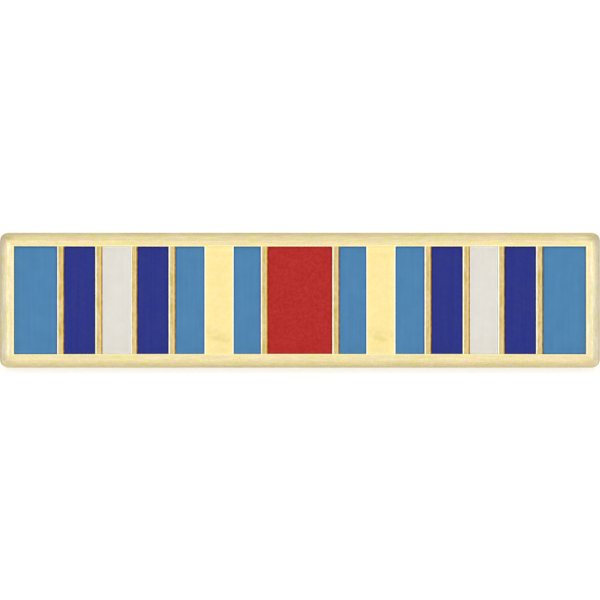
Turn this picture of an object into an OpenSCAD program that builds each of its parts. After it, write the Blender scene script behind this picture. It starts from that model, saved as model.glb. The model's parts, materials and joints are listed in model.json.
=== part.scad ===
// Ribbon bar lapel pin: a struck and gold plated plate whose cells hold coloured enamel,
// with one plain post on its back. All sizes are millimetres.
// The pin lies as it comes to rest by itself: on the lower back edge and on the post.

/* [Plate] */
// Overall length of the bar
plate_length = 17.5; // [16:0.1:20]
// Overall height of the bar
plate_height = 3.94; // [3.6:0.02:4.6]
// Thickness from the flat back to the crest of the rim
plate_thickness = 1.0; // [0.8:0.05:1.2]
// Radius of the four corners, seen from the front
corner_radius = 0.24; // [0.1:0.02:0.36]
// Chamfer along the edge of the back
back_chamfer = 0.05; // [0.02:0.01:0.08]

/* [Rim] */
// Width of the rim along the top and the bottom
rim_width_long = 0.402; // [0.3:0.002:0.5]
// Width of the rim at the two ends
rim_width_end = 0.414; // [0.3:0.002:0.5]
// Width of the flat crest beside the cells
rim_land = 0.06; // [0.03:0.01:0.1]
// How far the rim falls from its crest to its outer edge
rim_fall = 0.16; // [0.08:0.01:0.24]

/* [Stripes] */
// Width of the red field in the middle
red_width = 1.87; // [1.6:0.01:2]
// Width of each thin metal bar between two cells
bar_width = 0.214; // [0.16:0.002:0.26]
// Width of the light blue stripe beside each middle bar
inner_blue_width = 0.78; // [0.6:0.005:0.8]
// Width of each bare metal band
band_width = 0.86; // [0.7:0.005:0.95]
// Width of the light blue stripe on the far side of each band
middle_blue_width = 0.835; // [0.7:0.005:0.9]
// Width of each dark blue stripe
dark_blue_width = 0.9; // [0.7:0.005:0.95]
// Width of each white stripe
white_width = 0.81; // [0.7:0.005:0.9]

/* [Heights] */
// Depth of the cells below the crest of the rim
cell_depth = 0.3; // [0.2:0.01:0.4]
// How far the crests of the thin bars lie below the crest of the rim
bar_drop = 0.02; // [0.01:0.005:0.04]
// How high the rounded top of a thin bar rises above its sides
bar_crown = 0.06; // [0.03:0.005:0.08]
// How far the bare bands lie below the crest of the rim
band_drop = 0.03; // [0.01:0.005:0.05]
// How far the edges of the enamel lie below the crest of the rim
enamel_drop = 0.06; // [0.04:0.005:0.1]
// How far the level middle of the enamel lies below its edges
enamel_sag = 0.02; // [0.01:0.005:0.03]
// Width of the strip where the enamel climbs at the walls of its cell
climb_width = 0.08; // [0.04:0.01:0.12]
// Gap between the enamel and the walls of its cell
enamel_gap = 0.01; // [0.005:0.005:0.02]

/* [Post] */
// Length of the post behind the plate
post_length = 8; // [7:0.1:10]
// Radius of the shaft
post_radius = 0.55; // [0.4:0.05:0.6]
// Length of the pointed end
tip_length = 1.3; // [0.8:0.1:1.8]
// Radius of the blunted tip
tip_radius = 0.1; // [0.05:0.01:0.15]
// Radius of the foot that sits on the plate
foot_radius = 1.2; // [0.9:0.05:1.5]
// Thickness of the foot
foot_thickness = 0.25; // [0.15:0.05:0.4]
// Chamfer on the rim of the foot and in the corner beside the shaft
foot_chamfer = 0.08; // [0.04:0.02:0.12]

/* [Hidden] */
$fn = 96;
overlap = 0.02;
gold_color = [0.95, 0.85, 0.55];
red_color = [0.73, 0.18, 0.17];
light_blue_color = [0.32, 0.53, 0.70];
dark_blue_color = [0.20, 0.22, 0.54];
white_color = [0.89, 0.88, 0.84];

window_length = plate_length - 2 * rim_width_end;
window_height = plate_height - 2 * rim_width_long;
cell_floor = plate_thickness - cell_depth;

// One row for each stripe of the right half, from the middle outwards: kind, width.
inner_stripes = [
    ["bar", bar_width],
    ["light_blue", inner_blue_width],
    ["band", band_width],
    ["light_blue", middle_blue_width],
    ["bar", bar_width],
    ["dark_blue", dark_blue_width],
    ["bar", bar_width],
    ["white", white_width],
    ["bar", bar_width],
    ["dark_blue", dark_blue_width],
    ["bar", bar_width],
];
function kind(stripe) = stripe[0];
function width(stripe) = stripe[1];
function total_width(stripes, i = 0) =
    i < len(stripes) ? width(stripes[i]) + total_width(stripes, i + 1) : 0;
function reversed(list) = [for (i = [len(list) - 1:-1:0]) list[i]];

// The outermost light blue stripe fills what the other stripes leave up to the rim.
outer_blue_width = (window_length - red_width) / 2 - total_width(inner_stripes);
half_stripes = concat(inner_stripes, [["light_blue", outer_blue_width]]);
stripes = concat(reversed(half_stripes), [["red", red_width]], half_stripes);

// Where a stripe begins, counted from the middle of the plate.
function left_edge(i) = i == 0 ? -window_length / 2 : left_edge(i - 1) + width(stripes[i - 1]);
function middle_of(i) = left_edge(i) + width(stripes[i]) / 2;

// The colour of each kind of enamel. Stripes of other kinds are bare metal.
enamels = [
    ["light_blue", light_blue_color],
    ["dark_blue", dark_blue_color],
    ["white", white_color],
    ["red", red_color],
];
function colors_of(i) = [for (enamel = enamels) if (enamel[0] == kind(stripes[i])) enamel[1]];
cells = [for (i = [0:len(stripes) - 1]) if (len(colors_of(i)) > 0) i];

// Fields of one colour are numbered from left to right, and the single red one has no number.
function number_of(i) = len([for (c = cells) if (c <= i && kind(stripes[c]) == kind(stripes[i])) c]);
function enamel_name(i) =
    kind(stripes[i]) == "red" ? "enamel_red" : str("enamel_", kind(stripes[i]), "_", number_of(i));

// The radius of an arc that falls by one amount over one run and starts out level.
function arc_radius(run, fall) = (run * run + fall * fall) / (2 * fall);

// At rest the plate leans back until the shoulder of the post's point meets the surface.
shoulder = post_length - tip_length;
lean = atan((plate_height / 2 - post_radius) / (shoulder + back_chamfer));
lift = plate_height / 2 * cos(lean) - back_chamfer * sin(lean);

// The front of the lower rim and the tip of the post reach furthest forwards and backwards.
rim_run = rim_width_long - rim_land;
rim_radius = arc_radius(rim_run, rim_fall);
rim_arc_height = rim_run - plate_height / 2;
rim_arc_depth = plate_thickness - rim_radius;
front_reach = rim_arc_height * sin(lean) - rim_arc_depth * cos(lean) - rim_radius;
back_reach = post_length * cos(lean) + tip_radius * sin(lean);

// Turns the flat pin, face up, to how it rests, with the middle of its base at the origin.
module at_rest() {
    translate([0, -(front_reach + back_reach) / 2, lift])
        rotate([90 - lean, 0, 0])
            children();
}

// What lies outside the rim's rounded edge, in the top corner of the plate's section.
module rounded_off(half, run) {
    radius = arc_radius(run, rim_fall);
    difference() {
        translate([half - run, plate_thickness - rim_fall])
            square([run + overlap, rim_fall + overlap]);
        translate([half - run, plate_thickness - radius])
            circle(r = radius);
    }
}

// The section of the plate across one direction: square behind, rounded in front.
module plate_section(span, rim_width) {
    half = span / 2;
    difference() {
        translate([-half, 0])
            square([span, plate_thickness]);
        for (side = [0, 1])
            mirror([side, 0]) {
                rounded_off(half, rim_width - rim_land);
                polygon([
                    [half - back_chamfer, 0],
                    [half, back_chamfer],
                    [half + overlap, back_chamfer],
                    [half + overlap, -overlap],
                    [half - back_chamfer, -overlap],
                ]);
            }
    }
}

module rounded_outline() {
    straight_length = plate_length - 2 * corner_radius;
    straight_height = plate_height - 2 * corner_radius;
    square([plate_length, straight_height], center = true);
    square([straight_length, plate_height], center = true);
    for (x = [-1, 1], y = [-1, 1])
        translate([x * straight_length / 2, y * straight_height / 2])
            circle(r = corner_radius);
}

// The solid plate before its front is sunk: both sections and the rounded outline at once.
module blank() {
    intersection() {
        rotate([90, 0, 90])
            linear_extrude(plate_length, center = true)
                plate_section(plate_height, rim_width_long);
        rotate([90, 0, 0])
            linear_extrude(plate_height, center = true)
                plate_section(plate_length, rim_width_end);
        linear_extrude(plate_thickness)
            rounded_outline();
    }
}

// The sunk field that holds the stripes.
module window() {
    translate([-window_length / 2, -window_height / 2, cell_floor])
        cube([window_length, window_height, cell_depth + overlap]);
}

// A thin wall between two cells, with a rounded top.
module bar() {
    rise = cell_depth - bar_drop;
    crown_radius = arc_radius(bar_width / 2, bar_crown);
    rotate([90, 0, 0])
        linear_extrude(window_height + 2 * overlap, center = true)
            intersection() {
                translate([-bar_width / 2, -overlap])
                    square([bar_width, rise + overlap]);
                union() {
                    translate([0, rise - crown_radius])
                        circle(r = crown_radius);
                    translate([-bar_width, -overlap])
                        square([2 * bar_width, rise - crown_radius + overlap]);
                }
            }
}

// A broad stripe of bare metal.
module band() {
    rise = cell_depth - band_drop;
    translate([-band_width / 2, -window_height / 2 - overlap, -overlap])
        cube([band_width, window_height + 2 * overlap, rise + overlap]);
}

module plate() {
    color(gold_color)
        at_rest() {
            difference() {
                blank();
                window();
            }
            for (i = [0:len(stripes) - 1])
                translate([middle_of(i), 0, cell_floor]) {
                    if (kind(stripes[i]) == "bar") bar();
                    if (kind(stripes[i]) == "band") band();
                }
        }
}

// The section of a fill across one direction: level, and climbing a little at both walls.
module fill_section(span) {
    half = span / 2;
    top = cell_depth - enamel_drop;
    polygon([
        [-half, 0],
        [half, 0],
        [half, top],
        [half - climb_width, top - enamel_sag],
        [climb_width - half, top - enamel_sag],
        [-half, top],
    ]);
}

// The fill of one cell stands on the cell's floor, and climbs at all four walls.
module enamel(i) {
    field_width = width(stripes[i]) - 2 * enamel_gap;
    field_height = window_height - 2 * enamel_gap;
    color(colors_of(i)[0])
        at_rest()
            translate([middle_of(i), 0, cell_floor]) {
                rotate([90, 0, 0])
                    linear_extrude(field_height, center = true)
                        fill_section(field_width);
                rotate([90, 0, 90])
                    linear_extrude(field_width, center = true)
                        fill_section(field_height);
            }
}

// The post: a foot on the back of the plate, a plain shaft and a blunted point.
module post() {
    color(gold_color)
        at_rest()
            mirror([0, 0, 1])
                rotate_extrude()
                    polygon([
                        [0, 0],
                        [foot_radius, 0],
                        [foot_radius, foot_thickness - foot_chamfer],
                        [foot_radius - foot_chamfer, foot_thickness],
                        [post_radius + foot_chamfer, foot_thickness],
                        [post_radius, foot_thickness + foot_chamfer],
                        [post_radius, shoulder],
                        [tip_radius, post_length],
                        [0, post_length],
                    ]);
}

plate();
for (i = cells)
    enamel(i);
post();
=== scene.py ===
# %% [markdown]
# # A ribbon bar lapel pin, struck in metal, gold plated and filled with enamel
#
# The real pin is one struck plate. Its rim, ten thin bars and two broad bands stand up from
# sunk cells, and the cells are filled with coloured enamel up to just below the metal. A post
# is soldered to its back. This lesson models each piece with the tools that one would use by
# hand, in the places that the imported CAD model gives, and then gives it its finish.

# %% Load the frame
import math
import bmesh
import bpy
from mathutils import Matrix, Vector
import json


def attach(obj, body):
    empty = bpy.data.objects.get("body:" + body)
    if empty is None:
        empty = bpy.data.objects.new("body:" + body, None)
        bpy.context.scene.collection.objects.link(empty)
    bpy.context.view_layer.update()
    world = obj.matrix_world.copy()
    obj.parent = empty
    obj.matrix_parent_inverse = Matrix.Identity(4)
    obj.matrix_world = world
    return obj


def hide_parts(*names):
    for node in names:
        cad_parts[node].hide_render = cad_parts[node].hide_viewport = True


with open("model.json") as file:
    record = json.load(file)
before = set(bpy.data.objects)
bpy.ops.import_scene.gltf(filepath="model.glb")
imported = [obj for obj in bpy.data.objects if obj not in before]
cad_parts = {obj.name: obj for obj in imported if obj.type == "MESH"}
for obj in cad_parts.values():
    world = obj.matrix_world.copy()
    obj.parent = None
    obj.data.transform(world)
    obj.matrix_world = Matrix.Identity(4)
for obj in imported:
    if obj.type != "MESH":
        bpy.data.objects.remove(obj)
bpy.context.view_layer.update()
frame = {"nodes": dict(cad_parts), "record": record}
print("CAD nodes:", len(frame["nodes"]))

# %% [markdown]
# ## Flat working place
#
# The pin rests leaning back on its post, so its face is neither upright nor level. Modelling in
# that lean would make every cut slanted. Instead each piece is modelled flat, face up, with one
# Blender unit for a millimetre, and is settled into the lean at the end. The lean comes from the
# direction of the post in the record, and the origin is the middle of the plate's back.

# %% Find the lean and measure the CAD nodes in the flat place
MM = 0.001
RIGHT_ANGLE = math.radians(90)
post_direction = Vector(frame["record"]["mounts"][0]["axis"])
lean = math.asin(-post_direction.z)
stand_up = Matrix.Rotation(RIGHT_ANGLE - lean, 4, "X")


def corners_of(points):
    low = Vector([min(p[axis] for p in points) for axis in range(3)])
    high = Vector([max(p[axis] for p in points) for axis in range(3)])
    return low, high


def turned_flat(node):
    lay_down = stand_up.inverted()
    return [lay_down @ v.co / MM for v in frame["nodes"][node].data.vertices]


plate_low, plate_high = corners_of(turned_flat("plate"))
back_middle = (plate_low + plate_high) / 2
back_middle.z = plate_low.z


def flat_box(node):
    low, high = corners_of(turned_flat(node))
    return low - back_middle, high - back_middle


settle = stand_up @ Matrix.Translation(back_middle * MM) @ Matrix.Scale(MM, 4)
print("lean %.2f degrees" % math.degrees(lean))
print("plate %.3f x %.3f x %.3f mm" % tuple(plate_high - plate_low))

# %% [markdown]
# ## Sizes of the relief
#
# The cells are where the CAD's enamel nodes are. What lies between two neighbouring fills is
# metal: a narrow gap holds a thin bar and a wide one a bare band. Reading the row of fills from
# left to right gives every place on the plate, so no position is typed in twice.

# %% Read the row of fills, bars and bands
joint_gap = 0.01
widest_bar = 0.4

fill_nodes = [node for node in frame["nodes"] if node.startswith("enamel")]
fill_nodes.sort(key=lambda node: flat_box(node)[0].x)
fill_boxes = {node: flat_box(node) for node in fill_nodes}
first_low, first_high = fill_boxes[fill_nodes[0]]
last_high = fill_boxes[fill_nodes[-1]][1]
plate_length = plate_high.x - plate_low.x
plate_height = plate_high.y - plate_low.y
plate_thickness = plate_high.z - plate_low.z
cell_floor = first_low.z
enamel_edge = first_high.z
window_height = 2 * (first_high.y + joint_gap)
window_length = 2 * (last_high.x + joint_gap)
half_window = window_height / 2
window_end = window_length / 2
rim_width = (plate_height - window_height) / 2
end_width = (plate_length - window_length) / 2

walls = []
for left_node, right_node in zip(fill_nodes, fill_nodes[1:]):
    wall_left = fill_boxes[left_node][1].x + joint_gap
    wall_right = fill_boxes[right_node][0].x - joint_gap
    walls.append((wall_left, wall_right))
bars = [wall for wall in walls if wall[1] - wall[0] < widest_bar]
bands = [wall for wall in walls if wall[1] - wall[0] >= widest_bar]
bar_width = bars[0][1] - bars[0][0]
print("fills", len(fill_nodes), "bars", len(bars), "bands", len(bands))
print("window %.3f x %.3f mm" % (window_length, window_height))
print("rim %.3f and %.3f mm wide" % (rim_width, end_width))

# %% [markdown]
# ## Helpers for working by hand
#
# Blender's operators act on whatever is selected. The first helper adds a block of a given size
# with nothing else selected. The second selects points, edges or faces in edit mode by a test on
# their place and direction, as one would click on them.

# %% Helpers: add a block and pick parts of a piece


def set_mode(mode):
    bpy.ops.object.mode_set(mode=mode)


def clear_selection():
    bpy.ops.object.select_all(action="DESELECT")


def add_block(name, low, high):
    clear_selection()
    bpy.ops.mesh.primitive_cube_add(size=1, location=(Vector(low) + Vector(high)) / 2)
    block = bpy.context.object
    block.name = name
    block.scale = Vector(high) - Vector(low)
    bpy.ops.object.transform_apply(location=True, rotation=False, scale=True)
    return block


def pick(piece, kind, wanted):
    bpy.ops.mesh.select_mode(type=kind)
    bpy.ops.mesh.select_all(action="DESELECT")
    mesh = bmesh.from_edit_mesh(piece.data)
    picked = 0
    for part in {"VERT": mesh.verts, "EDGE": mesh.edges, "FACE": mesh.faces}[kind]:
        if kind == "VERT":
            hit = wanted(part.co)
        elif kind == "EDGE":
            ends = [v.co for v in part.verts]
            hit = wanted((ends[0] + ends[1]) / 2, (ends[1] - ends[0]).normalized())
        else:
            hit = wanted(part.calc_center_median(), part.normal)
        if hit:
            part.select_set(True)
            picked += 1
    mesh.select_flush_mode()
    bmesh.update_edit_mesh(piece.data)
    return picked


print("helpers ready: block and pick")

# %% Helpers: tests for picking, and cut, extrude and move


def near(a, b, reach=0.002):
    return abs(a - b) < reach


def faces_up(way, least=0.9):
    return way.z > least


def cut(place, direction):
    bpy.ops.mesh.bisect(plane_co=place, plane_no=direction)


def extrude(step):
    bpy.ops.mesh.extrude_region_move(TRANSFORM_OT_translate={"value": step})


def move(step):
    bpy.ops.transform.translate(value=step)


print("near: within 0.002 mm")

# %% [markdown]
# ## The plate's rim
#
# The rim of the struck plate is a rounded bolster: flat and bright beside the cells, and falling
# away faster and faster to a plain side. A bevel on a box would round it too, but always as a
# quarter circle. Here the front face is inset again and again, and each inset rises by what the
# arc rises there, which gives the true section and an even ring of faces for the highlights.
# The four corners are rounded first. After the first inset the ends are pulled in a little more,
# because the rim is wider there. Once the insets have used up the corners' radius the small arcs
# have shrunk to points, and these are merged, which leaves the soft mitres of the real rim.

# %% Block out the plate and round its corners
corner_radius = 0.24
corner_steps = 10
rim_land = 0.06
rim_fall = 0.16
rim_run = rim_width - rim_land
rim_radius = (rim_run ** 2 + rim_fall ** 2) / (2 * rim_fall)
side_height = plate_thickness - rim_fall

STRUCK, LIP, BAR = range(3)
plate = add_block(
    "struck_plate",
    (-plate_length / 2, -plate_height / 2, 0),
    (plate_length / 2, plate_height / 2, side_height),
)
for number in (STRUCK, LIP, BAR):
    plate.data.materials.append(None)
set_mode("EDIT")
upright = pick(plate, "EDGE", lambda middle, way: abs(way.z) > 0.9)
bpy.ops.mesh.bevel(offset=corner_radius, segments=corner_steps, affect="EDGES")
print("upright edges rounded:", upright)

# %% Inset the front along the arc of the rim
arc_steps = 12
used_up = corner_radius - 0.001
steepest = math.asin(rim_run / rim_radius)
tilts = [steepest * (1 - step / arc_steps) for step in range(arc_steps + 1)]
insets = sorted([rim_run - rim_radius * math.sin(tilt) for tilt in tilts] + [used_up])


def rim_height(inset):
    return plate_thickness - rim_radius + math.sqrt(rim_radius ** 2 - (rim_run - inset) ** 2)


def pick_front(level):
    pick(plate, "FACE", lambda middle, way: faces_up(way) and near(middle.z, level))


def pull_in_ends(level):
    for side in (-1, 1):
        pick(plate, "VERT", lambda p: near(p.z, level) and p.x * side > 0)
        move((side * (rim_width - end_width), 0, 0))
    pick_front(level)


def close_corners(level):
    for right, up in ((1, 1), (1, -1), (-1, 1), (-1, -1)):
        pick(plate, "VERT", lambda p: near(p.z, level) and p.x * right > 0 and p.y * up > 0)
        bpy.ops.mesh.merge(type="CENTER")
    pick_front(level)


pick_front(side_height)
for before, after in zip(insets, insets[1:]):
    level = rim_height(after)
    bpy.ops.mesh.inset(thickness=after - before, depth=level - rim_height(before))
    if after == insets[1]:
        pull_in_ends(level)
    if after == used_up:
        close_corners(level)
bpy.ops.mesh.inset(thickness=rim_land, depth=0)
print("rim rises from %.3f to %.3f mm in %d steps" % (side_height, plate_thickness, len(insets) - 1))

# %% [markdown]
# ## Wells
#
# Inside the rim the die leaves two broad bands at nearly the rim's height and sinks three wells
# between them. The level face is cut with bisect along the bands' edges, so that the wells can be
# picked and extruded down to the cell floor. The thin bars come later, because they are too
# narrow and too finely shaped to be left standing by such cuts.

# %% Sink the wells
band_edges = [edge for band in bands for edge in band]
middle_strip = 0.1


def on_band(x, reach=0.0):
    return any(left - reach < x < right + reach for left, right in bands)


def in_well(middle, way):
    in_window = abs(middle.y) < middle_strip and abs(middle.x) < window_end
    return faces_up(way) and in_window and not on_band(middle.x)


for edge in band_edges:
    pick(plate, "FACE", lambda middle, way: faces_up(way) and abs(middle.y) < middle_strip)
    cut((edge, 0, 0), (1, 0, 0))
wells = pick(plate, "FACE", in_well)
extrude((0, 0, cell_floor - plate_thickness))
print("wells sunk:", wells, "to %.2f mm" % cell_floor)

# %% [markdown]
# ## Bands
#
# The bands lie a little lower than the rim and flow up into it at both ends. They are cut across
# near their ends, and the cuts are lowered one by one. Each pair below gives a cut's distance
# from the rim, as a share of the flow's length, and the share of the drop that is reached there.

# %% Lower the bands
band_drop = 0.03
flow_length = 0.32
flow = [(1.0, 1.0), (0.8, 0.96), (0.6, 0.82), (0.4, 0.55), (0.2, 0.22), (0.08, 0.06)]

for share, drop in flow:
    for side in (-1, 1):
        pick(plate, "FACE", lambda middle, way: faces_up(way, 0.5) and on_band(middle.x))
        cut((0, side * (half_window - flow_length * share), 0), (0, 1, 0))
for share, drop in flow:
    row = half_window - flow_length * share
    pick(plate, "VERT", lambda p: near(abs(p.y), row) and near(p.z, plate_thickness) and on_band(p.x, 0.002))
    move((0, 0, -band_drop * drop))
print("bands lowered by %.2f mm, flowing up over %.2f mm" % (band_drop, flow_length))

# %% [markdown]
# ## Soft edges
#
# Struck and polished metal has no knife edges. Each well's upper edge gets a small rounding all round, along
# the rim and along the bands alike. It catches the light, and a painted highlight in its own material adds to
# it, as the thin bright line beside the enamel.

# %% Round the upper edges of the wells
soft_edge = 0.02


def well_edge(middle, way):
    beside_band = any(near(middle.x, edge) for edge in band_edges) and abs(middle.y) < half_window
    beside_rim = near(abs(middle.y), half_window) and not on_band(middle.x)
    beside_end = near(abs(middle.x), window_end)
    upper = middle.z > plate_thickness - band_drop - 0.01
    return upper and abs(way.z) < 0.5 and (beside_band or beside_rim or beside_end)


rounded = pick(plate, "EDGE", well_edge)
bpy.ops.mesh.bevel(offset=soft_edge, segments=3, affect="EDGES", material=LIP)
print("edges rounded:", rounded)

# %% [markdown]
# ## Back and sides
#
# The back edge is eased all round. The side of a trimmed blank shows two zones: a smooth one
# that the trimming tool has wiped and, towards the back, a slightly smaller rough one. Two cuts
# through the side and a small resize of everything behind them make that step.

# %% Ease the back and step the side
back_easing = 0.05
trim_height = 0.36
trim_slope = 0.03
trim_step = 0.012


def on_outer_side(middle, way):
    past_window = abs(middle.x) > window_end + 0.1 or abs(middle.y) > half_window + 0.1
    return past_window and abs(way.z) < 0.3 and abs(middle.z - trim_height) < 0.4


back_edges = pick(plate, "EDGE", lambda middle, way: near(middle.z, 0) and abs(way.z) < 0.1)
bpy.ops.mesh.bevel(offset=back_easing, segments=3, affect="EDGES")
for height in (trim_height, trim_height - trim_slope):
    pick(plate, "FACE", on_outer_side)
    cut((0, 0, height), (0, 0, 1))
pick(plate, "VERT", lambda p: p.z < trim_height - trim_slope / 2)
shrink = [1 - 2 * trim_step / size for size in (plate_length, plate_height)]
bpy.ops.transform.resize(value=(*shrink, 1))
set_mode("OBJECT")
print("back edges eased:", back_edges, "side stepped at %.2f mm" % trim_height)

# %% [markdown]
# ## One thin bar
#
# Each bar is a thin wall whose top is worn to a crown: a broad slope on the left, a nearly level
# back and a short steep shoulder on the right. They are alike, so one is modelled and copied.
# Cuts along its top are lowered one by one to the crown's section: each pair below gives a place
# across the bar, as a share of its width, and its depth below the crest. Cuts across the bar
# give the metal somewhere to waver.

# %% Model one bar
bar_drop = 0.02
bar_level = plate_thickness - bar_drop
sunk = 0.03
bar_rows = 40
crown = [(0.0, 0.034), (0.035, 0.017), (0.07, 0.0125), (0.11, 0.0085), (0.15, 0.005), (0.19, 0.0022)]
crown += [(0.24, 0.0), (0.57, 0.0)]
crown += [(0.66, 0.0012), (0.76, 0.0042), (0.83, 0.009), (0.89, 0.0165), (0.95, 0.027), (1.0, 0.04)]


def model_bar():
    bar = add_block(
        "thin_bar",
        (-bar_width / 2, -half_window - sunk, cell_floor - sunk),
        (bar_width / 2, half_window + sunk, bar_level),
    )
    set_mode("EDIT")
    for share, drop in crown[1:-1]:
        pick(bar, "FACE", lambda middle, way: faces_up(way))
        cut((bar_width * (share - 0.5), 0, 0), (1, 0, 0))
    for row in range(1, bar_rows):
        pick(bar, "FACE", lambda middle, way: middle.z > cell_floor)
        cut((0, (2 * row / bar_rows - 1) * half_window, 0), (0, 1, 0))
    for share, drop in crown:
        pick(bar, "VERT", lambda p: near(p.x, bar_width * (share - 0.5)) and near(p.z, bar_level))
        move((0, 0, -drop))
    set_mode("OBJECT")
    return bar


first_bar = model_bar()
print("one bar has", len(first_bar.data.polygons), "faces")

# %% [markdown]
# ## Ten bars in the plate
#
# Each copy gets its own mesh and place. A Displace modifier with a cloud texture moves its crown
# by a few thousandths of a millimetre. It reads the place in the world, so each copy wavers
# differently. Struck metal is one solid, so a Boolean union then melts the bars into the plate.

# %% Copy the bar and let the copies waver
waver = bpy.data.textures.new("waver", "CLOUDS")
waver.noise_scale = 0.3
waver.noise_depth = 2
waver_height = 0.008
waver_middle = 0.55
crown_depth = 0.05


def select_only(*pieces):
    clear_selection()
    for piece in pieces:
        piece.select_set(True)
    bpy.context.view_layer.objects.active = pieces[0]


def apply_modifier(piece, kind, **settings):
    select_only(piece)
    modifier = piece.modifiers.new(kind.lower(), kind)
    for name, value in settings.items():
        setattr(modifier, name, value)
    bpy.ops.object.modifier_apply(modifier=modifier.name)


def copy_to(model, x):
    select_only(model)
    bpy.ops.object.duplicate(linked=False)
    copy = bpy.context.object
    copy.location.x = x
    bpy.ops.object.transform_apply(location=True)
    return copy


def make_uneven(piece, texture, height, middle, wanted):
    group = piece.vertex_groups.new(name="uneven")
    group.add([v.index for v in piece.data.vertices if wanted(v.co)], 1, "REPLACE")
    apply_modifier(piece, "DISPLACE", texture=texture, strength=height, mid_level=middle,
                   vertex_group=group.name, texture_coords="GLOBAL")


copies = []
for left, right in bars:
    copy = copy_to(first_bar, (left + right) / 2)
    make_uneven(copy, waver, waver_height, waver_middle, lambda p: p.z > bar_level - crown_depth)
    copies.append(copy)
bpy.data.objects.remove(first_bar)
print("bars copied:", len(copies))

# %% Melt the bars into the plate
select_only(*copies)
bpy.ops.object.join()
all_bars = bpy.context.object
apply_modifier(plate, "BOOLEAN", operation="UNION", object=all_bars, solver="EXACT")
bpy.data.objects.remove(all_bars)


def open_edges(piece):
    mesh = bmesh.new()
    mesh.from_mesh(piece.data)
    found = sum(1 for edge in mesh.edges if not edge.is_manifold)
    mesh.free()
    return found


print("plate has", len(plate.data.polygons), "faces and", open_edges(plate), "open edges")

# %% [markdown]
# ## The enamel fills
#
# Enamel is brushed into the cells and lies a little below the metal. It wets the walls, so its edge climbs a
# little all round, and the middle is not perfectly flat. One block for each width is inset along that
# climbing curve, its middle is cut into a fine grid, and a cloud texture ripples it. Fills of the same width
# are copies. How near a point is to a wall is kept as an attribute, because the finish paints shade there,
# most of all under the upper rim.

# %% Model one fill
seam = 0.004
climb = [(0.012, 0.4), (0.018, 0.3), (0.03, 0.2), (0.04, 0.1)]
climb_reach = sum(run for run, share in climb)
sag = 0.013
enamel_level = enamel_edge - sag
half_fill = half_window - seam
column_width = 0.12
fill_rows = 26


def cut_grid(fill, half):
    columns = max(2, round((2 * half - 2 * climb_reach) / column_width))
    for direction, edge, parts in (((1, 0, 0), half, columns), ((0, 1, 0), half_fill, fill_rows)):
        for part in range(1, parts):
            away = (edge - climb_reach) * (2 * part / parts - 1)
            pick(fill, "FACE", lambda middle, way: faces_up(way, 0.99) and near(middle.z, enamel_level))
            cut(Vector(direction) * away, direction)


def model_fill(name, width):
    half = width / 2
    fill = add_block(name, (-half, -half_fill, cell_floor), (half, half_fill, enamel_edge))
    set_mode("EDIT")
    pick(fill, "FACE", lambda middle, way: faces_up(way))
    for run, share in climb:
        bpy.ops.mesh.inset(thickness=run, depth=-sag * share)
    cut_grid(fill, half)
    set_mode("OBJECT")
    return fill


print("enamel climbs %.3f mm over %.2f mm at the walls" % (sag, climb_reach))

# %% Mark the walls, and copy the fills to their cells
ripple = bpy.data.textures.new("ripple", "CLOUDS")
ripple.noise_scale = 0.9
ripple.noise_depth = 1
ripple_height = 0.006
# how strongly the enamel gets painted shade beside each wall, most under the upper rim
upper_shade_weight, right_shade_weight, lower_shade_weight, left_shade_weight = 1.2, 0.93, 0.8, 0.8


# the attribute wall marks where the enamel gets painted shade
def mark_walls(fill, half):
    nearness = fill.data.attributes.new("wall", "FLOAT", "POINT")
    for point, value in zip(fill.data.vertices, nearness.data):
        x, y = point.co.x, point.co.y
        sides = [(half_fill - y, upper_shade_weight), (half - x, right_shade_weight)]
        sides += [(half_fill + y, lower_shade_weight), (half + x, left_shade_weight)]
        value.value = max(0.0, max(strength * (1 - away / climb_reach) for away, strength in sides))


fills = {}
models = {}
for node in fill_nodes:
    low, high = fill_boxes[node]
    width = round(high.x - low.x + 2 * (joint_gap - seam), 3)
    if width not in models:
        models[width] = model_fill("fill_model", width)
        mark_walls(models[width], width / 2)
    fill = copy_to(models[width], (low.x + high.x) / 2)
    fill.name = node.replace("enamel", "fill")
    make_uneven(fill, ripple, ripple_height, 0.5, lambda p: near(p.z, enamel_level, 0.003))
    fills[node] = fill
for model in models.values():
    bpy.data.objects.remove(model)
print("fills modelled:", len(models), "copied to cells:", len(fills))

# %% [markdown]
# ## The post
#
# A plain pin post is a drawn wire with a point, on a small round foot that is soldered to the
# back. It is round all over, so it is built like turned work: a disc is extruded downwards ring
# by ring, and each new ring is resized to the radius of the profile there. The profile is a list
# of radii and depths, from the foot's rounded edge over the solder's fillet to the shaft, its
# soft shoulder and the point.

# %% Draw the profile of the post
post_low, post_high = flat_box("post")
foot_radius = post_high.x
post_length = -post_low.z
post_radius = frame["record"]["mounts"][0]["dims"]["r_mm"]
foot_thickness = 0.25
foot_side = foot_radius - 0.07
foot_rounding = 0.08
foot_round_start = foot_thickness - 0.1
fillet = 0.12
tip_length = 1.3
tip_radius = 0.1
tip_blunting = 0.06
tip_steps = 12
quarter = [RIGHT_ANGLE * turn / 5 for turn in range(1, 6)]

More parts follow.
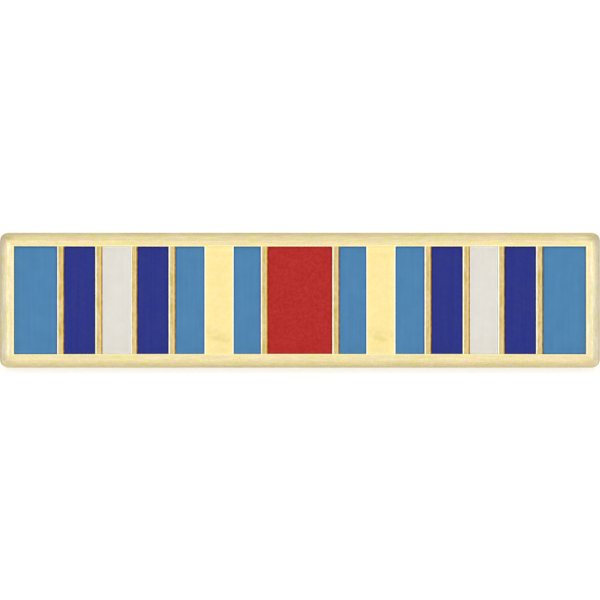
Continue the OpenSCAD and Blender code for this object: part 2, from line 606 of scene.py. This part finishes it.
profile = [(foot_radius, 0.0), (foot_radius - 0.05, 0.03), (foot_side, 0.08), (foot_side, foot_round_start)]
for angle in quarter:
    inwards = foot_rounding * (1 - math.cos(angle))
    profile.append((foot_side - inwards, foot_round_start + foot_rounding * math.sin(angle)))
profile.append((post_radius + fillet + 0.04, foot_thickness))
for angle in quarter:
    radius = post_radius + fillet * (1 - math.sin(angle))
    profile.append((radius, foot_thickness + fillet * (1 - math.cos(angle))))
shoulder = post_length - tip_length
profile += [(post_radius, shoulder - 0.2), (post_radius - 0.004, shoulder - 0.05)]
for turn in range(1, tip_steps + 1):
    share = turn / tip_steps
    radius = tip_radius + (post_radius - tip_radius) * (1 - share) ** 0.9
    profile.append((radius, shoulder + (tip_length - tip_blunting) * share))
profile += [(tip_radius * 0.86, post_length - 0.035), (tip_radius * 0.5, post_length - 0.01)]
profile += [(tip_radius * 0.2, post_length)]
print("post %.2f mm thick, %.2f mm long" % (2 * post_radius, post_length))

# %% Extrude the post ring by ring
clear_selection()
bpy.ops.mesh.primitive_circle_add(vertices=64, radius=foot_radius, fill_type="NGON", location=(0, 0, 0))
post = bpy.context.object
post.name = "back_post"
set_mode("EDIT")
bpy.ops.mesh.select_all(action="SELECT")
for (radius, depth), (next_radius, next_depth) in zip(profile, profile[1:]):
    extrude((0, 0, depth - next_depth))
    share = next_radius / radius
    bpy.ops.transform.resize(value=(share, share, 1), center_override=(0, 0, -next_depth))
bpy.ops.mesh.select_all(action="SELECT")
bpy.ops.mesh.normals_make_consistent(inside=False)
set_mode("OBJECT")
print("post has", len(post.data.polygons), "faces and", open_edges(post), "open edges")

# %% [markdown]
# ## Settle the pieces
#
# Every piece now goes from its flat place into the lean and to its real size in metres. The
# matrix is applied to the mesh, so each object stays at the origin, unturned and unscaled. Smooth
# shading by angle keeps the flats flat and lets the roundings shade softly.

# %% Settle every piece and shade it
smooth_up_to = math.radians(32)
pieces = [plate, post] + list(fills.values())
for piece in pieces:
    piece.matrix_world = settle
    select_only(piece)
    bpy.ops.object.transform_apply(location=True, rotation=True, scale=True)
    bpy.ops.object.shade_smooth_by_angle(angle=smooth_up_to)
print("pieces settled:", len(pieces))

# %% [markdown]
# ## Masks
#
# A finish is made of masks: numbers that change from point to point, worked out by nodes. Here a
# mask wraps a node's output, and a sum such as a * b makes and links the Math node for it. A
# socket knows its tree, so the same helpers serve materials, node groups and the world.

# %% Helpers: a mask, and sums with masks


class Mask:
    def __init__(self, socket):
        self.socket = socket
        self.tree = socket.id_data

    def __add__(self, other):
        return calculate("ADD", self, other)

    def __sub__(self, other):
        return calculate("SUBTRACT", self, other)

    def __rsub__(self, other):
        return calculate("SUBTRACT", other, self)

    def __mul__(self, other):
        return calculate("MULTIPLY", self, other)

    def __abs__(self):
        return calculate("ABSOLUTE", self)


def feed(socket, value):
    if isinstance(value, Mask):
        value.tree.links.new(value.socket, socket)
    else:
        socket.default_value = value


def calculate(operation, *values, kind="ShaderNodeMath"):
    tree = next(value.tree for value in values if isinstance(value, Mask))
    node = tree.nodes.new(kind)
    node.operation = operation
    for socket, value in zip(node.inputs, values):
        feed(socket, value)
    return Mask(node.outputs[0])


def split_up(vector):
    node = vector.tree.nodes.new("ShaderNodeSeparateXYZ")
    feed(node.inputs[0], vector)
    return [Mask(output) for output in node.outputs]


print("a mask can be added, subtracted and multiplied")

# %% Helpers: soft ramps, mixed colours and screen colours


def ramp(value, start, end, low=0.0, high=1.0):
    node = value.tree.nodes.new("ShaderNodeMapRange")
    node.interpolation_type = "SMOOTHSTEP"
    for socket, setting in zip(node.inputs, (value, start, end, low, high)):
        feed(socket, setting)
    return Mask(node.outputs[0])


def fade(value, start, end, most=1.0):
    return ramp(value, start, end, most, 0.0)


def mix(share, first, second, blend="MIX"):
    node = share.tree.nodes.new("ShaderNodeMix")
    node.data_type = "RGBA"
    node.blend_type = blend
    for index, value in ((0, share), (6, first), (7, second)):
        feed(node.inputs[index], value)
    return Mask(node.outputs[2])


def tint(*channels):
    # The standard curve from a screen's values to linear light.
    shares = [channel / 255 for channel in channels]
    return (*[s / 12.92 if s <= 0.04045 else ((s + 0.055) / 1.055) ** 2.4 for s in shares], 1)


print("mid grey in linear light: %.3f" % tint(128, 128, 128)[0])

# %% [markdown]
# ## Shared effects
#
# Several finishes need the same effects, so each effect is a node group. Streaks are a noise
# stretched one way and mottle is an even noise. Both can add a second, closer noise that breaks
# them up into flecks. The outline distance tells how far a point lies inside the plate's rounded
# outline. All of them read a place in millimetres on the flat pin.

# %% Build the streaks and the mottle
noise_roughness = 0.6


def new_group(name, takes, gives):
    group = bpy.data.node_groups.new(name, "ShaderNodeTree")
    group.interface.new_socket("Place", in_out="INPUT", socket_type="NodeSocketVector")
    for socket, value in takes.items():
        made = group.interface.new_socket(socket, in_out="INPUT", socket_type="NodeSocketFloat")
        made.default_value = value
    group.interface.new_socket(gives, in_out="OUTPUT", socket_type="NodeSocketFloat")
    start = group.nodes.new("NodeGroupInput")
    return group, {socket: Mask(start.outputs[socket]) for socket in ["Place", *takes]}


def give(group, mask):
    feed(group.nodes.new("NodeGroupOutput").inputs[0], mask)


def noise_at(place, detail):
    noise = place.tree.nodes.new("ShaderNodeTexNoise")
    noise.inputs["Scale"].default_value = 1
    noise.inputs["Detail"].default_value = detail
    noise.inputs["Roughness"].default_value = noise_roughness
    feed(noise.inputs["Vector"], place)
    return Mask(noise.outputs[0]) - 0.5


def build_noise_group(name, stretch, detail, closeness):
    takes = {**dict.fromkeys(stretch, 1.0), "Contrast": 2.0, "Shift": 0.0, "Flecks": 0.0}
    group, taken = new_group(name, takes, "Mask")
    sizes = group.nodes.new("ShaderNodeCombineXYZ")
    for index in range(3):
        feed(sizes.inputs[index], taken[stretch[min(index, len(stretch) - 1)]])
    vector_math = "ShaderNodeVectorMath"
    scaled = calculate("DIVIDE", taken["Place"], Mask(sizes.outputs[0]), kind=vector_math)
    shifted = calculate("ADD", scaled, taken["Shift"], kind=vector_math)
    closer = calculate("MULTIPLY", shifted, closeness, kind=vector_math)
    noise = noise_at(shifted, detail) + noise_at(closer, detail) * taken["Flecks"]
    clamp = group.nodes.new("ShaderNodeClamp")
    feed(clamp.inputs[0], noise * taken["Contrast"] + 0.5)
    give(group, Mask(clamp.outputs[0]))
    return group


streaks = build_noise_group("streaks", ["Along", "Across"], 1.5, (4, 1.3, 1))
mottle = build_noise_group("mottle", ["Size"], 2, (4, 4, 4))
print("groups:", streaks.name, mottle.name)

# %% Build the outline distance


def build_outline_group():
    takes = {"Length": 1.0, "Height": 1.0, "Corner": 0.1}
    group, taken = new_group("outline_distance", takes, "Inward")
    corner = taken["Corner"]
    beyond = []
    for away, size in zip(split_up(taken["Place"]), (taken["Length"], taken["Height"])):
        beyond.append(abs(away) - (size * 0.5 - corner))
    outside = [calculate("MAXIMUM", value, 0.0) for value in beyond]
    round_corner = calculate("SQRT", outside[0] * outside[0] + outside[1] * outside[1])
    inside = calculate("MINIMUM", calculate("MAXIMUM", *beyond), 0.0)
    give(group, corner - (round_corner + inside))
    return group


outline_distance = build_outline_group()
print("group:", outline_distance.name)

# %% [markdown]
# ## Starting a finish
#
# Each finish is one material with one Principled shader. It first finds a point's place on the
# flat pin: Object coordinates go through a Mapping node that turns them back and makes them
# millimetres. Then it works as a painter does, with an undercoat and coats laid on by masks. A
# number beside a mask is the strength of its coat.

# %% Helper: a finish
to_flat = settle.inverted()
UP_THE_FACE = (0, 0, RIGHT_ANGLE)
THROUGH_THE_PLATE = (0, RIGHT_ANGLE, 0)


class Finish:
    def __init__(self, name, metallic=0.0):
        self.material = bpy.data.materials.new(name)
        self.material.use_nodes = True
        self.tree = self.material.node_tree
        self.shader = self.tree.nodes["Principled BSDF"]
        self.shader.inputs["Metallic"].default_value = metallic
        where = self.tree.nodes.new("ShaderNodeTexCoord").outputs["Object"]
        self.place = self.mapped(Mask(where), (lean - RIGHT_ANGLE, 0, 0), to_flat.translation, 1 / MM)
        self.x, self.y, self.z = split_up(self.place)

    def mapped(self, place, rotation, location=(0, 0, 0), scale=1):
        node = self.tree.nodes.new("ShaderNodeMapping")
        node.inputs["Rotation"].default_value = rotation
        node.inputs["Location"].default_value = location
        node.inputs["Scale"].default_value = (scale, scale, scale)
        feed(node.inputs["Vector"], place)
        return Mask(node.outputs[0])

    def use(self, group, turn=None, **values):
        node = self.tree.nodes.new("ShaderNodeGroup")
        node.node_tree = group
        feed(node.inputs["Place"], self.mapped(self.place, turn) if turn else self.place)
        for name, value in values.items():
            feed(node.inputs[name.capitalize()], value)
        return Mask(node.outputs[0])

    def undercoat(self, color):
        self.coat = color

    def paint(self, share, color, blend="MIX"):
        self.coat = mix(share, self.coat, color, blend)
        feed(self.shader.inputs["Base Color"], self.coat)

    def roughness(self, value):
        feed(self.shader.inputs["Roughness"], value)

    def bump(self, height, depth):
        node = self.tree.nodes.new("ShaderNodeBump")
        node.inputs["Distance"].default_value = depth * MM
        feed(node.inputs["Height"], height)
        feed(self.shader.inputs["Normal"], Mask(node.outputs[0]))


print("flat origin in the material: (%.3f, %.3f, %.3f)" % tuple(to_flat.translation))

# %% [markdown]
# ## Gold plate: telling its parts apart
#
# The struck plate is one piece of metal, so it gets one material, and masks tell its parts apart by their
# place. The rim is what lies less than its width inside the outline, and its ends begin at the mitres, where
# the end is nearer than the long side. A second outline distance with larger corners serves the painted
# shade, so that the painted shade reaches further in at the corners.

# %% Gold plate: masks for the rim, its ends and the front
gold = Finish("struck_gold", metallic=1.0)
shade_corner = 0.55
mitre_blur = 0.05
plate_size = {"length": plate_length, "height": plate_height}
inward = gold.use(outline_distance, **plate_size, corner=corner_radius)
# outline distance for the painted shade, with larger corners
shade_inward = gold.use(outline_distance, **plate_size, corner=shade_corner)
from_end = plate_length / 2 - abs(gold.x)
from_long_side = plate_height / 2 - abs(gold.y)
at_end = ramp(from_long_side - from_end, -mitre_blur, mitre_blur)
in_front = ramp(gold.z, 0.04, 0.12)
on_rim = fade(inward, rim_width - 0.03, rim_width + 0.02) * in_front
below = fade(gold.y, -0.6, 0.6)
print("rim: %.3f mm wide" % rim_width)

# %% [markdown]
# ## Gold plate: the level metal and its streaks
#
# The plating is pale yellow on the level bands and a little greener on the rim, and a painted highlight makes
# the rim's ends almost cream. Polishing has left soft streaks along the rim: clear yellow, pinkish and olive.
# On the ends they run up and down, so each set is made twice and the ends' mask chooses. Smudges, spots and a
# fine grain break them up.

# %% Gold plate: make the streaks
end_length = 0.6
end_shift = 9
rim_flecks = 0.75


def rim_streaks(along, across, contrast, shift):
    alike = {"across": across, "contrast": contrast, "flecks": rim_flecks}
    long_way = gold.use(streaks, along=along, shift=shift, **alike)
    end_way = gold.use(streaks, UP_THE_FACE, along=along * end_length, shift=shift + end_shift, **alike)
    return on_rim * (long_way + at_end * (end_way - long_way))


broad = rim_streaks(along=1.4, across=0.09, contrast=3.6, shift=3)
fine = rim_streaks(along=1.0, across=0.07, contrast=3.4, shift=21)
rosy = rim_streaks(along=1.2, across=0.09, contrast=3.6, shift=17)
smudge = gold.use(mottle, size=0.55, contrast=2.6, shift=5, flecks=0.5)
spots = gold.use(mottle, size=0.2, contrast=2.6, shift=12, flecks=0.6)
print("streaks on the ends:", end_length, "times as long")

# %% Gold plate: colour the level metal
band_gold = tint(254, 231, 155)
rim_gold = tint(246, 242, 180)
# painted highlight colour for the rim's ends; random pale spots use it too
end_highlight_and_spot_cream = tint(254, 255, 238)
clear_yellow = tint(235, 230, 112)
rosy_gold = tint(254, 215, 194)
olive_gold = tint(200, 190, 104)
# how far the painted highlight on the ends reaches before the corners
end_highlight_share = fade(abs(gold.y), half_window - 0.05, half_window + 0.25, most=0.9)

gold.undercoat(band_gold)
gold.paint(on_rim, rim_gold)
# painted highlight: the rim's ends almost cream
gold.paint(at_end * end_highlight_share * on_rim, end_highlight_and_spot_cream)
gold.paint(broad * 0.66, clear_yellow)
gold.paint(rosy * (0.8 - at_end * 0.25), rosy_gold)
gold.paint(fine * 0.36, olive_gold)
gold.paint(smudge * 0.075, olive_gold)
gold.paint(spots * 0.15, end_highlight_and_spot_cream)

grain_size = 0.06
grain_share = 0.44
yellow_grain = tint(238, 227, 98)
rosy_grain = tint(253, 224, 214)
for shift, grain_gold in ((14, yellow_grain), (31, rosy_grain)):
    grain = gold.use(mottle, size=grain_size, contrast=4.0, shift=shift)
    gold.paint(grain * (on_rim * grain_share), grain_gold)
print("grain size: %.2f mm" % grain_size)

# %% [markdown]
# ## Gold plate: the falling rim and the sides
#
# Painted shade makes the rim duller and greyer as it falls away, a little further below than above, and a
# little darker on the lower half. This painted shade multiplies what is there, so the streaks stay visible in
# it. At the very edge more painted shade gives the long sides a thin grey line and the two ends a brown one,
# which is stronger on the left. The trimmed sides are warm again, with upright marks from the trimming tool.

# %% Gold plate: paint shade on the falling rim
outer_shade = tint(212, 214, 199)
end_shade = tint(220, 224, 246)
lower_rim_shade = tint(250, 252, 253)
shade_starts = 0.02
shade_ends = below * 0.06 + 0.21 - at_end * 0.022
# painted shade where the rim falls away
fall_shade = fade(shade_inward, shade_starts, shade_ends, 0.9 - below * 0.2)

# the painted shade multiplies the colour, greyer on the long sides and bluer at the ends
gold.paint(fall_shade * in_front, mix(at_end, outer_shade, end_shade), "MULTIPLY")
# painted shade: the lower half of the rim a little darker
gold.paint(below * on_rim, lower_rim_shade, "MULTIPLY")
print("the shade starts %.2f mm inside the outline" % shade_starts)

# %% Gold plate: painted shade as grey long edges and brown end edges, and warm sides
grey_edge_shade = tint(204, 200, 208)
brown_edge_shade = tint(178, 150, 36)
side_gold = tint(250, 232, 164)
# painted shade at the very edge: grey on the long sides, more below, brown on the ends, more on the left
long_edge_shade = fade(inward, 0.03, 0.12, below * 0.12 + 0.12) * (1.0 - at_end)
end_edge_shade = fade(inward, 0.012, 0.045, ramp(gold.x, -1.0, 1.0, 0.95, 0.45)) * at_end
on_side = fade(inward, 0.016, 0.05) * ramp(gold.z, 0.86, 0.8)
trimming = gold.use(streaks, THROUGH_THE_PLATE, along=0.7, across=0.035, contrast=2.2, shift=6)

gold.paint(long_edge_shade * in_front, grey_edge_shade)
gold.paint(end_edge_shade * in_front, brown_edge_shade)
gold.paint(on_side * 0.85, mix(trimming * 0.5, side_gold, olive_gold))
print("plain side: %.2f mm high" % side_height)

# %% [markdown]
# ## Gold plate: beside the enamel
#
# The rim carries a painted highlight, a bright line beside the window, and each band has one on either side.
# The bands are also a little darker towards their upper ends, with a line of painted shadow right under the
# rim, and smeared on a slant near their lower ends, as if a cloth had missed them.

# %% Gold plate: the painted highlight line around the window
line_width = 0.055
window_highlight = tint(255, 251, 186)
end_window_highlight = tint(255, 252, 228)
beside_window = ramp(inward, rim_width - line_width, rim_width - 0.02)

# painted highlight: a bright line beside the window, paler at the ends
gold.paint(beside_window * on_rim * 0.7, mix(at_end, window_highlight, end_window_highlight))
print("bright line: %.3f mm wide" % line_width)

# %% Gold plate: darker upper ends, a painted shadow line and smears on the bands
right_band = bands[1]
smear_slant = 0.22
smear_place = 1.02
smear_line_place = 1.14
on_bands = ramp(inward, rim_width - 0.01, rim_width + 0.01) * in_front
upper_end = ramp(gold.y, half_window - 0.34, half_window - 0.22, 0.0, 0.1)
# painted shadow: a thin darker line right under the rim
rim_shadow_line = ramp(gold.y, half_window - 0.04, half_window - 0.01, 0.0, 0.26)
across_band = gold.x - calculate("SIGN", gold.x) * (sum(right_band) / 2)
slanted = gold.y + across_band * smear_slant
smear = fade(abs(slanted + smear_place), 0.05, 0.3) * ramp(smudge, 0.2, 0.8, 0.08, 0.2)
smear_line = fade(abs(slanted + smear_line_place), 0.02, 0.08, most=0.13)
smear_line = smear_line * ramp(abs(across_band), 0.3, 0.15)

# darker upper ends, the painted shadow line and the smears, all in olive
gold.paint((upper_end + rim_shadow_line + (smear + smear_line)) * on_bands, olive_gold)
print("the smears lie %.2f mm below the middle" % smear_place)

# %% Gold plate: painted highlights on the bands' edges
painted_band_highlight = tint(255, 254, 222)


def from_band_edge(finish):
    return calculate("MINIMUM", *[abs(abs(finish.x) - edge) for edge in right_band])


band_edge = fade(from_band_edge(gold), 0.02, 0.06, most=0.9)
# painted highlight: a bright line on either edge of each band
gold.paint(band_edge * on_bands, painted_band_highlight)
print("right band: %.3f to %.3f mm" % right_band)

# %% [markdown]
# ## Gold plate: roughness and relief
#
# Colour alone would look printed. So the fine streaks are rougher too, and the broad ones, the
# stipple on the back and the trimming marks stand up by a few thousandths of a millimetre.

# %% Gold plate: roughness and bump
smooth_streak, rough_streak = 0.26, 0.36
rougher_back, rougher_side = 0.16, 0.08
stipple_height, trimming_height = 1.5, 1.2
on_back = fade(gold.z, 0.0, 0.04)
stipple = gold.use(mottle, size=0.05, contrast=2.0, shift=1)
rough = ramp(fine, 0.0, 1.0, smooth_streak, rough_streak) + on_back * rougher_back

gold.roughness(rough + on_side * rougher_side)
gold.bump(broad + stipple * on_back * stipple_height + trimming * on_side * trimming_height, depth=0.003)
print("finish:", gold.material.name)

# %% [markdown]
# ## Lips of the wells
#
# The rounding around each well is a strip of its own, so it gets its own material, painted brighter than the
# other gold as a painted highlight: light yellow along the rim, nearly white beside the bands, and a stronger
# yellow at the two ends of the window.

# %% Finish: the lips of the wells
lip = Finish("lip_gold", metallic=1.0)
lip.roughness(0.24)
lip_spots = lip.use(mottle, size=0.22, contrast=3.0, shift=2)

# painted highlight: the lip's yellow is lighter than the rest of the gold
lip.undercoat(tint(255, 251, 178))
lip.paint(lip_spots * 0.5, tint(252, 240, 160))
# painted highlight: a stronger yellow at the window's two ends
lip.paint(ramp(abs(lip.x), window_end - 0.06, window_end - 0.04), tint(255, 238, 96))
# painted highlight: nearly white beside the bands
lip.paint(fade(from_band_edge(lip), 0.03, 0.05), tint(255, 255, 240))
lip.bump(lip_spots, depth=0.002)
print("finish:", lip.material.name)

# %% [markdown]
# ## Thin bars
#
# A bar is so narrow that its slopes are seen as lines. The sideways part of the normal, from -1 facing left
# to 1 facing right, tells them apart, and light and shade are painted on them by it. The gentle slope on the
# left gets a painted highlight, and the steep foot below it painted shade, or a painted reflection of the
# white enamel beside it. The back is darker than the bands by painted shade and streaked along the bar, and
# the shoulder on the right begins with a painted highlight and falls into painted shade, a patchy golden
# brown.

# %% Finish: the backs of the thin bars
bar_coat = Finish("bar_gold", metallic=1.0)
bar_coat.roughness(0.3)
brushed = bar_coat.use(streaks, UP_THE_FACE, along=0.5, across=0.08, contrast=3.4, shift=4, flecks=0.7)
patch = bar_coat.use(mottle, size=0.2, contrast=3.0, shift=8, flecks=0.5)

# painted shade: the bars' gold is darker and more tan than the bands'
bar_coat.undercoat(tint(226, 207, 156))
bar_coat.paint(brushed, tint(198, 176, 84))
bar_coat.paint(patch * 0.5, tint(219, 188, 128))
bar_coat.bump(brushed, depth=0.003)
print("finish:", bar_coat.material.name)

# %% Thin bars: paint light and shade on their slopes
slope_highlight = tint(255, 254, 232)
foot_shade = tint(130, 120, 110)
foot_reflection = tint(240, 240, 240)
right_highlight = tint(240, 218, 152)
facing = bar_coat.tree.nodes.new("ShaderNodeNewGeometry")
sideways = split_up(Mask(facing.outputs["Normal"]))[0]
white_ends = [high.x + joint_gap for node, (low, high) in fill_boxes.items() if "white" in node]
beside_white = fade(calculate("MINIMUM", *[abs(bar_coat.x - end) for end in white_ends]), 0.02, 0.04)
shoulder_patches = bar_coat.use(mottle, size=0.14, contrast=3.2, shift=19)
shoulder_shade = mix(shoulder_patches, tint(180, 122, 6), tint(212, 162, 30))

# painted highlight on the gentle left slope
bar_coat.paint(ramp(sideways, -0.12, -0.3), slope_highlight)
# painted shade on the steep left foot, or a painted reflection of white enamel beside the white fields
bar_coat.paint(ramp(sideways, -0.5, -0.7), mix(beside_white, foot_shade, foot_reflection))
# painted highlight where the right shoulder begins
bar_coat.paint(ramp(sideways, 0.05, 0.13, 0.0, 0.5), right_highlight)
# painted shade on the right shoulder, a patchy golden brown
bar_coat.paint(ramp(sideways, 0.24, 0.52), shoulder_shade)
print("white fields end at", [round(end, 3) for end in white_ends])

# %% [markdown]
# ## Enamel
#
# The enamel is opaque and satin, with faint brush streaks along the stripe, soft patches and a fine grain. It
# gets painted shade beside the walls, a painted paler line on the white, and painted light at its lower end.
# One function makes all four. Each row gives the plain, the patchy and the wall-shade colour, how near to the
# wall the painted shade begins (1 is the wall), and by how many steps of 255 the streaks and the grain
# lighten and darken.

# %% Finish: the four enamels
enamel_looks = {
    "light_blue": ((70, 127, 173), (74, 131, 177), (40, 107, 176), 0.6, 1.8, 0.6),
    "dark_blue": ((29, 41, 134), (34, 44, 129), (0, 2, 124), 0.6, 1.6, 1.6),
    "white": ((222, 218, 209), (225, 222, 213), (232, 232, 240), 0.6, 1.6, 0.6),
    "red": ((177, 28, 23), (182, 32, 27), (170, 0, 2), 0.5, 0.5, 5.6),
}
dark_channel = 60
dark_step = 1.6
wall_shade_blur = 0.14
# painted light for the enamel's lower end
painted_lower_light = (1.12, 1.12, 1.14, 1)


def shifted_tint(color, step):
    # A dark channel needs a larger step to look as much lighter or darker.
    return tint(*[max(0, channel + step * (dark_step if channel < dark_channel else 1)) for channel in color])


def enamel_finish(name, plain, patchy, wall_shade, wall_shade_from, streaky, grainy):
    enamel = Finish(name + "_enamel")
    enamel.shader.inputs["Specular IOR Level"].default_value = 0.2
    brush_marks = enamel.use(streaks, UP_THE_FACE, along=2.4, across=0.08, contrast=3.0, shift=2)
    patches = enamel.use(mottle, size=0.45, contrast=3.0, shift=9)
    grain = enamel.use(mottle, size=0.075, contrast=3.0, shift=6)
    wall = enamel.tree.nodes.new("ShaderNodeAttribute")
    wall.attribute_name = "wall"
    span = streaky + grainy
    lightness = brush_marks * (streaky / span) + grain * (grainy / span)

    def unevenly(color):
        return mix(lightness, shifted_tint(color, -span), shifted_tint(color, span))

    enamel.undercoat(unevenly(plain))
    enamel.paint(patches, unevenly(patchy))
    # painted shade beside the walls, strongest under the upper rim; on the white a paler bluish line
    enamel.paint(ramp(Mask(wall.outputs["Fac"]), wall_shade_from, wall_shade_from + wall_shade_blur), tint(*wall_shade))
    # painted light: the lower end a little lighter
    enamel.paint(fade(enamel.y, 0.03 - half_window, 0.14 - half_window), painted_lower_light, "MULTIPLY")
    enamel.roughness(ramp(grain, 0.0, 1.0, 0.38, 0.46))
    enamel.bump(grain, depth=0.0008)
    return enamel.material


enamels = {name: enamel_finish(name, *look) for name, look in enamel_looks.items()}
print("enamels:", sorted(enamels))

# %% [markdown]
# ## The post's finish
#
# The post is drawn wire under the same plating: a slightly uneven yellow, with the fine lines
# that the drawing leaves along it.

# %% Finish: the post
post_coat = Finish("post_gold", metallic=1.0)
draw_lines = post_coat.use(streaks, THROUGH_THE_PLATE, along=2.0, across=0.05, contrast=2.4, shift=1)
uneven = post_coat.use(mottle, size=0.5, contrast=2.2, shift=3)

post_coat.undercoat(tint(240, 220, 150))
post_coat.paint(draw_lines * 0.6, tint(214, 196, 130))
post_coat.paint(uneven * 0.3, tint(232, 200, 150))
post_coat.roughness(ramp(draw_lines, 0.0, 1.0, 0.24, 0.38))
post_coat.bump(draw_lines, depth=0.002)
print("finish:", post_coat.material.name)

# %% [markdown]
# ## Putting the finishes on
#
# The bevel has already given the lips their own material slot, and the bars' faces are found by
# their place. Each fill stands for its CAD node and takes the finish of its colour. Nothing on
# the pin moves, so every piece rides the root.

# %% Give every piece its finish, its body and its slot
bar_foot = 0.05

for number, coat in ((STRUCK, gold), (LIP, lip), (BAR, bar_coat)):
    plate.data.materials[number] = coat.material
for face in plate.data.polygons:
    spot = to_flat @ face.center
    on_bar = any(left < spot.x < right for left, right in bars)
    if on_bar and spot.z > cell_floor + bar_foot and abs(spot.y) < half_window:
        face.material_index = BAR
post.data.materials.append(post_coat.material)
for node, fill in fills.items():
    kind = node.replace("enamel_", "").rstrip("_0123456789")
    fill.data.materials.append(enamels[kind])
    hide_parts(node)
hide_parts("plate")
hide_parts("post")
for piece in pieces:
    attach(piece, "root")
print("finished pieces:", len(pieces))

# %% [markdown]
# ## Floor and room
#
# The pin stands on a plain pale floor in a pale room that is dimmer behind it. The floor glows a
# little, and more for the camera than for the metal, so it shows nearly white.

# %% Lay the floor
clear_selection()
bpy.ops.mesh.primitive_plane_add(size=3, location=(0, 0, 0))
floor = bpy.context.object
floor.name = "floor"
floor_paint = bpy.data.materials.new("floor_paint")
floor_paint.use_nodes = True
paper = floor_paint.node_tree.nodes["Principled BSDF"]
paper.inputs["Roughness"].default_value = 0.9
paper.inputs["Emission Color"].default_value = (1, 1, 1, 1)
ray = Mask(floor_paint.node_tree.nodes.new("ShaderNodeLightPath").outputs["Is Camera Ray"])
for socket, bounced, seen in (("Base Color", 0.93, 0.28), ("Emission Strength", 0.3, 0.78)):
    feed(paper.inputs[socket], ray * (seen - bounced) + bounced)
floor.data.materials.append(floor_paint)
print("floor: %.0f m across" % floor.dimensions.x)

# %% Light the room
glow_in_front, glow_behind = 0.84, 0.42
world = bpy.data.worlds.new("pale_room")
bpy.context.scene.world = world
world.use_nodes = True
looking = world.node_tree.nodes.new("ShaderNodeTexCoord")
backwards = split_up(Mask(looking.outputs["Generated"]))[1]
background = world.node_tree.nodes["Background"]
feed(background.inputs["Strength"], ramp(backwards, 0.3, 0.9, glow_in_front, glow_behind))
feed(background.inputs["Color"], (1, 1, 1, 1))
print("the room glows %.2f in front and %.2f behind" % (glow_in_front, glow_behind))

# %% [markdown]
# ## Lights and camera
#
# Metal shows what it mirrors. One soft box stands behind the camera for the level metal, one
# hangs overhead, and one stands at each side for the slopes. The camera looks square at the face
# through a long lens, from where the plate just fills the picture.

# %% Set up the soft boxes
plate_middle = settle @ Vector((0, 0, (side_height + plate_thickness) / 2))


def add_soft_box(name, sideways, upwards, distance, width, height, glow):
    side, up = math.radians(sideways), math.radians(upwards)
    way = Vector((math.sin(side) * math.cos(up), -math.cos(side) * math.cos(up), math.sin(up)))
    data = bpy.data.lights.new(name, "AREA")
    data.shape = "RECTANGLE"
    data.size = width
    data.size_y = height
    data.energy = glow * math.pi * width * height
    lamp = bpy.data.objects.new(name, data)
    lamp.location = plate_middle + way * distance
    lamp.rotation_euler = way.to_track_quat("Z", "Y").to_euler()
    lamp.visible_camera = False
    bpy.context.scene.collection.objects.link(lamp)


side_box = {"upwards": 16, "distance": 0.3, "width": 0.17, "height": 0.26, "glow": 0.32}
add_soft_box("front_box", 0, math.degrees(lean), distance=0.3, width=0.18, height=0.2, glow=0.17)
add_soft_box("top_box", 0, 88, distance=0.32, width=0.5, height=0.34, glow=0.2)
add_soft_box("left_box", -33, **side_box)
add_soft_box("right_box", 33, **side_box)
print("soft boxes aim %.1f mm above the floor" % (plate_middle.z / MM))

# %% Aim the camera
lens = 300
sensor = 36
image_width = 600
pixels_up = 0.2
face_way = (settle.to_3x3() @ Vector((0, 0, 1))).normalized()
camera_data = bpy.data.cameras.new("camera")
camera_data.lens = lens
camera_data.sensor_width = sensor
camera_data.clip_start = 0.01
camera_data.shift_y = pixels_up / image_width
camera = bpy.data.objects.new("camera", camera_data)
bpy.context.scene.collection.objects.link(camera)
camera.location = plate_middle + face_way * plate_length * MM * lens / sensor
camera.rotation_euler = (RIGHT_ANGLE - lean, 0, 0)
bpy.context.scene.camera = camera
bpy.context.scene.view_settings.view_transform = "Standard"
camera_distance = (camera.location - plate_middle).length / MM
print("camera: %.0f mm away" % camera_distance)

# %% [markdown]
# ## The last cell
#
# The last cell only imports json again.

# %% Import json
import json
